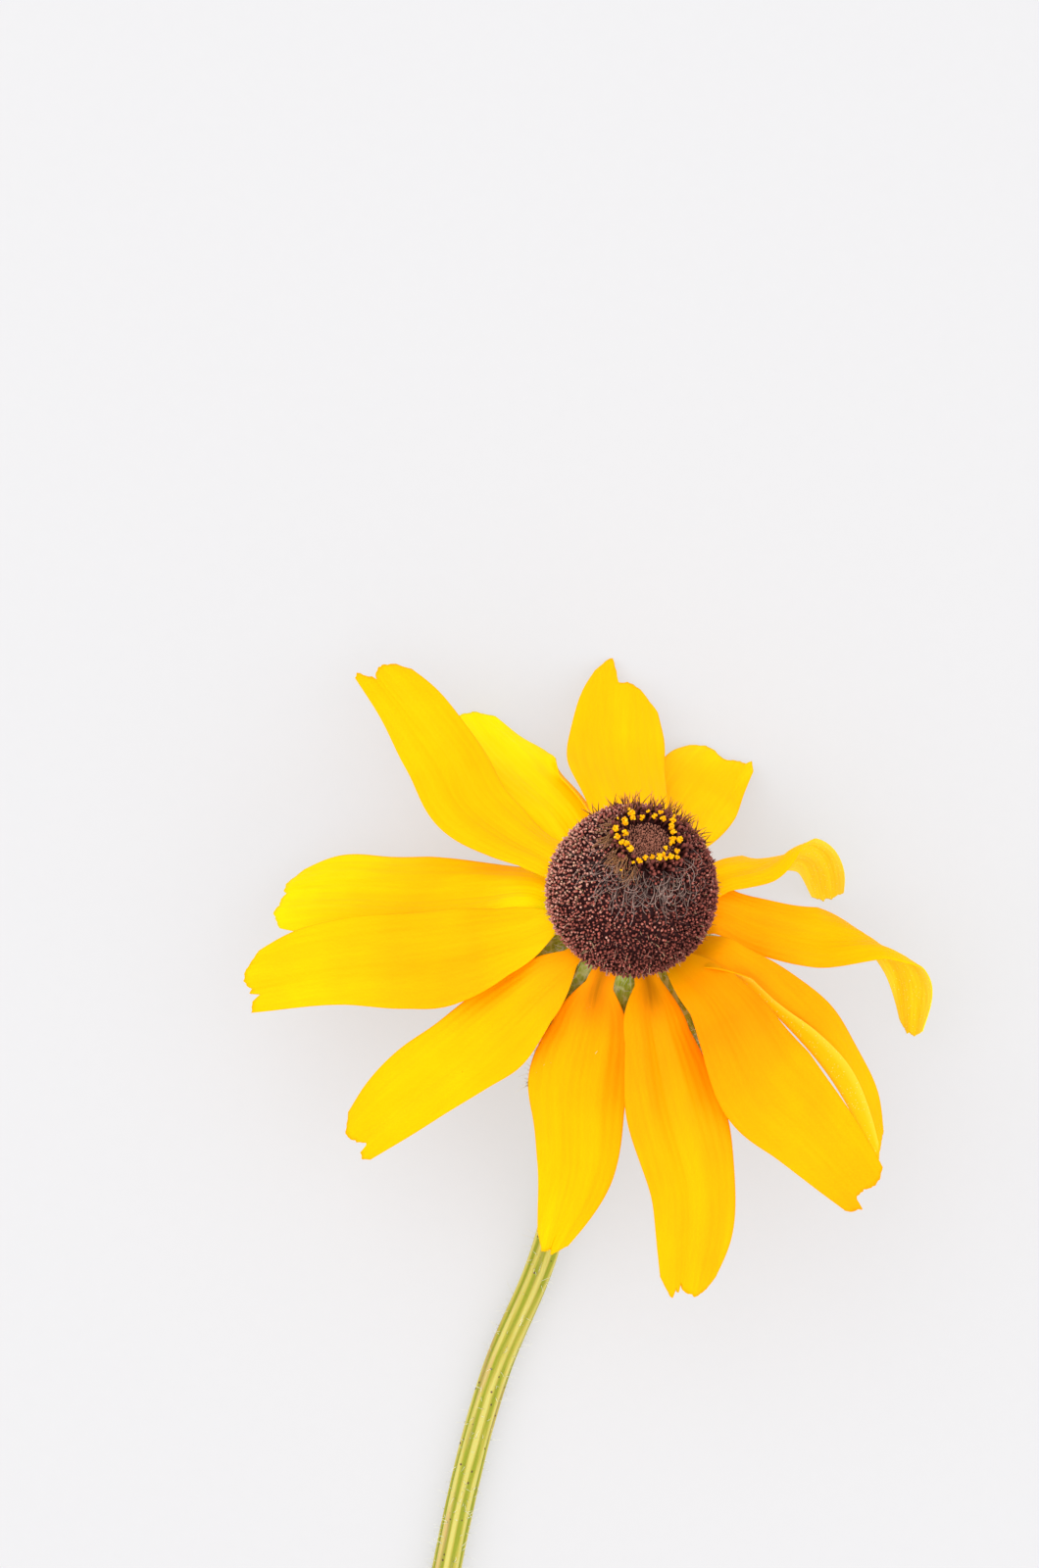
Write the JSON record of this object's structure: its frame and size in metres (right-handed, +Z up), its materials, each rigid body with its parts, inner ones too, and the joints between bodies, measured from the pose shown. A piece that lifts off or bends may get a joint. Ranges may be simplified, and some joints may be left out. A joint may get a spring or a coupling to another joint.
{
  "type": "black eyed susan flower",
  "caption": "Cut daisy-like flower lying down: long drooping rays round a domed dark disc with a pollen ring, green bracts below, on a short bare curved stem.",
  "frame": {"origin": "middle of the flower's footprint on the surface it lies on", "axes": "+Z up from the surface, +Y from the stem's cut end towards the head, +X to the right seen from above"},
  "size_m": [0.0792, 0.1209, 0.0465],
  "materials": {
    "petal": "soft satin, yellow turning orange at the root",
    "disc": "matt, dark purple-brown",
    "pollen": "powdery yellow",
    "bract": "matt, hairy green",
    "stem": "ridged, hairy yellow-green"
  },
  "bodies": {
    "root": {"ray_01": "petal", "ray_02": "petal", "ray_03": "petal", "ray_04": "petal", "ray_05": "petal", "ray_06": "petal", "ray_07": "petal", "ray_08": "petal", "ray_09": "petal", "ray_10": "petal", "ray_11": "petal", "ray_12": "petal", "ray_13": "petal", "disc_cone": "disc", "anther_ring": "pollen", "involucre": "bract", "stem": "stem"}
  },
  "joints": []
}
